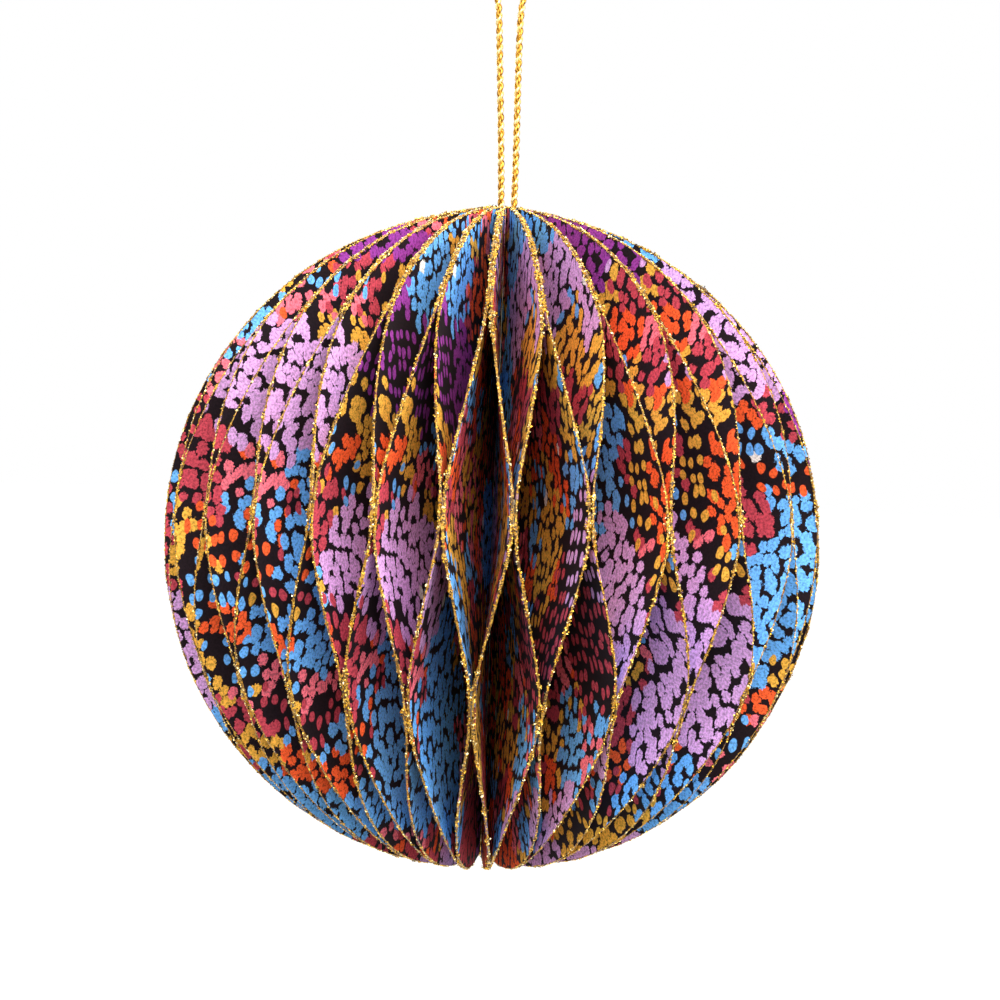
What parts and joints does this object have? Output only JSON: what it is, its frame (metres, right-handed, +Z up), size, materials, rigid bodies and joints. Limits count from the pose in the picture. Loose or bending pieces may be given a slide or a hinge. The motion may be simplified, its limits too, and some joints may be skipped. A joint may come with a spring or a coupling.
{
  "type": "honeycomb paper ball",
  "caption": "Hanging ball of printed paper half discs, glued in turn to the neighbour on either side and fanned round a hollow spine, with glitter rims and a twisted cord loop.",
  "frame": {"origin": "centre of the ball, halfway up the spine", "axes": "+Z up along the spine towards the hanging loop, -Y towards the front, +X to the right seen from the front"},
  "size_m": [0.08, 0.08, 0.1176],
  "materials": {
    "printed_paper": "matte uncoated paper printed on both faces in flat colours on a near-black ground, with the rim dipped in gold glitter",
    "binding_glue": "dried flexible bookbinding glue, cloudy cream",
    "metallic_cord": "two-ply twisted cord wrapped in gold metallic film"
  },
  "bodies": {
    "root": {"leaf_01": "printed_paper", "leaf_02": "printed_paper", "leaf_03": "printed_paper", "leaf_04": "printed_paper", "leaf_05": "printed_paper", "leaf_06": "printed_paper", "leaf_07": "printed_paper", "leaf_08": "printed_paper", "leaf_09": "printed_paper", "leaf_10": "printed_paper", "leaf_11": "printed_paper", "leaf_12": "printed_paper", "leaf_13": "printed_paper", "leaf_14": "printed_paper", "leaf_15": "printed_paper", "leaf_16": "printed_paper", "leaf_17": "printed_paper", "leaf_18": "printed_paper", "leaf_19": "printed_paper", "leaf_20": "printed_paper", "leaf_21": "printed_paper", "leaf_22": "printed_paper", "leaf_23": "printed_paper", "leaf_24": "printed_paper", "leaf_25": "printed_paper", "leaf_26": "printed_paper", "leaf_27": "printed_paper", "leaf_28": "printed_paper", "leaf_29": "printed_paper", "leaf_30": "printed_paper", "leaf_31": "printed_paper", "leaf_32": "printed_paper", "leaf_33": "printed_paper", "leaf_34": "printed_paper", "leaf_35": "printed_paper", "leaf_36": "printed_paper", "leaf_37": "printed_paper", "leaf_38": "printed_paper", "leaf_39": "printed_paper", "leaf_40": "printed_paper", "leaf_41": "printed_paper", "leaf_42": "printed_paper", "leaf_43": "printed_paper", "leaf_44": "printed_paper", "leaf_45": "printed_paper", "leaf_46": "printed_paper", "leaf_47": "printed_paper", "leaf_48": "printed_paper", "leaf_49": "printed_paper", "leaf_50": "printed_paper", "leaf_51": "printed_paper", "leaf_52": "printed_paper", "leaf_53": "printed_paper", "leaf_54": "printed_paper", "leaf_55": "printed_paper", "leaf_56": "printed_paper", "spine_binding": "binding_glue", "cord_knot": "metallic_cord", "hanging_cord": "metallic_cord"}
  },
  "joints": []
}
